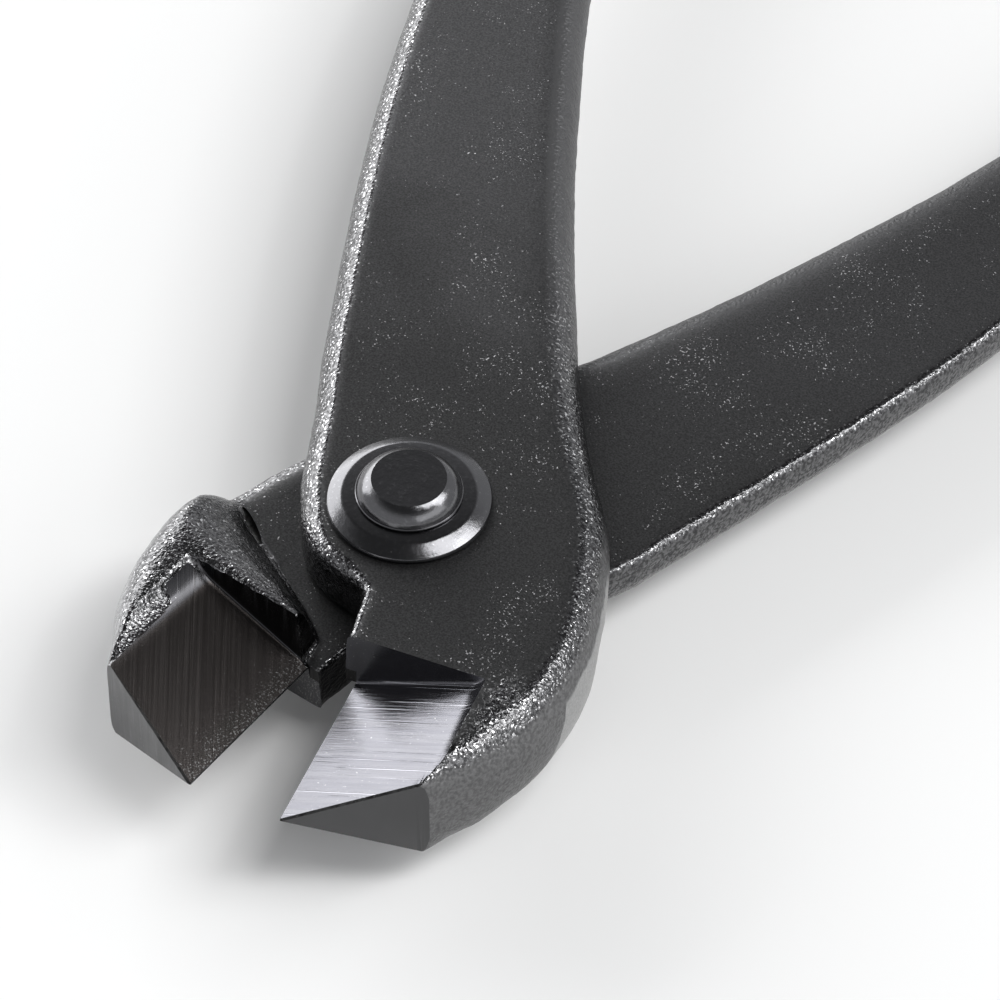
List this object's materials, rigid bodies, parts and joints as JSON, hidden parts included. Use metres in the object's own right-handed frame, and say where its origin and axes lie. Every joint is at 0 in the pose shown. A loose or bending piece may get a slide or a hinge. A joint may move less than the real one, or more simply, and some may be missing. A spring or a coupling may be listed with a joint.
{
  "type": "bonsai wire cutter",
  "caption": "Forged hand cutter for training wire: lapped levers on a riveted pivot, with short slant-ground jaws and long bowed handles.",
  "frame": {"origin": "on the pivot axis, at the flat lower end of the rivet", "axes": "+Z along the pivot axis, out through the upper washer; +Y from the pivot toward the handles; -Y toward the jaws"},
  "size_m": [0.0799, 0.1966, 0.0156],
  "materials": {
    "forged_steel": "black oxide on forged steel: satin faces with fine specks, rough orange-peel scale on the rounded edges, bright ground bevels at the jaws",
    "polished_black": "smooth turned steel, polished and blackened"
  },
  "bodies": {
    "lower_body": {"lower_lever": "forged_steel", "pivot_rivet": "polished_black", "upper_washer": "polished_black", "lower_washer": "polished_black"},
    "upper_body": {"upper_lever": "forged_steel"}
  },
  "joints": [
    {"name": "jaw_hinge", "type": "hinge", "parent": "lower_body", "child": "upper_body", "pos_m": [0, 0, 0.0078], "axis": [0, 0, 1], "range_deg": [-14.6, 30]}
  ]
}
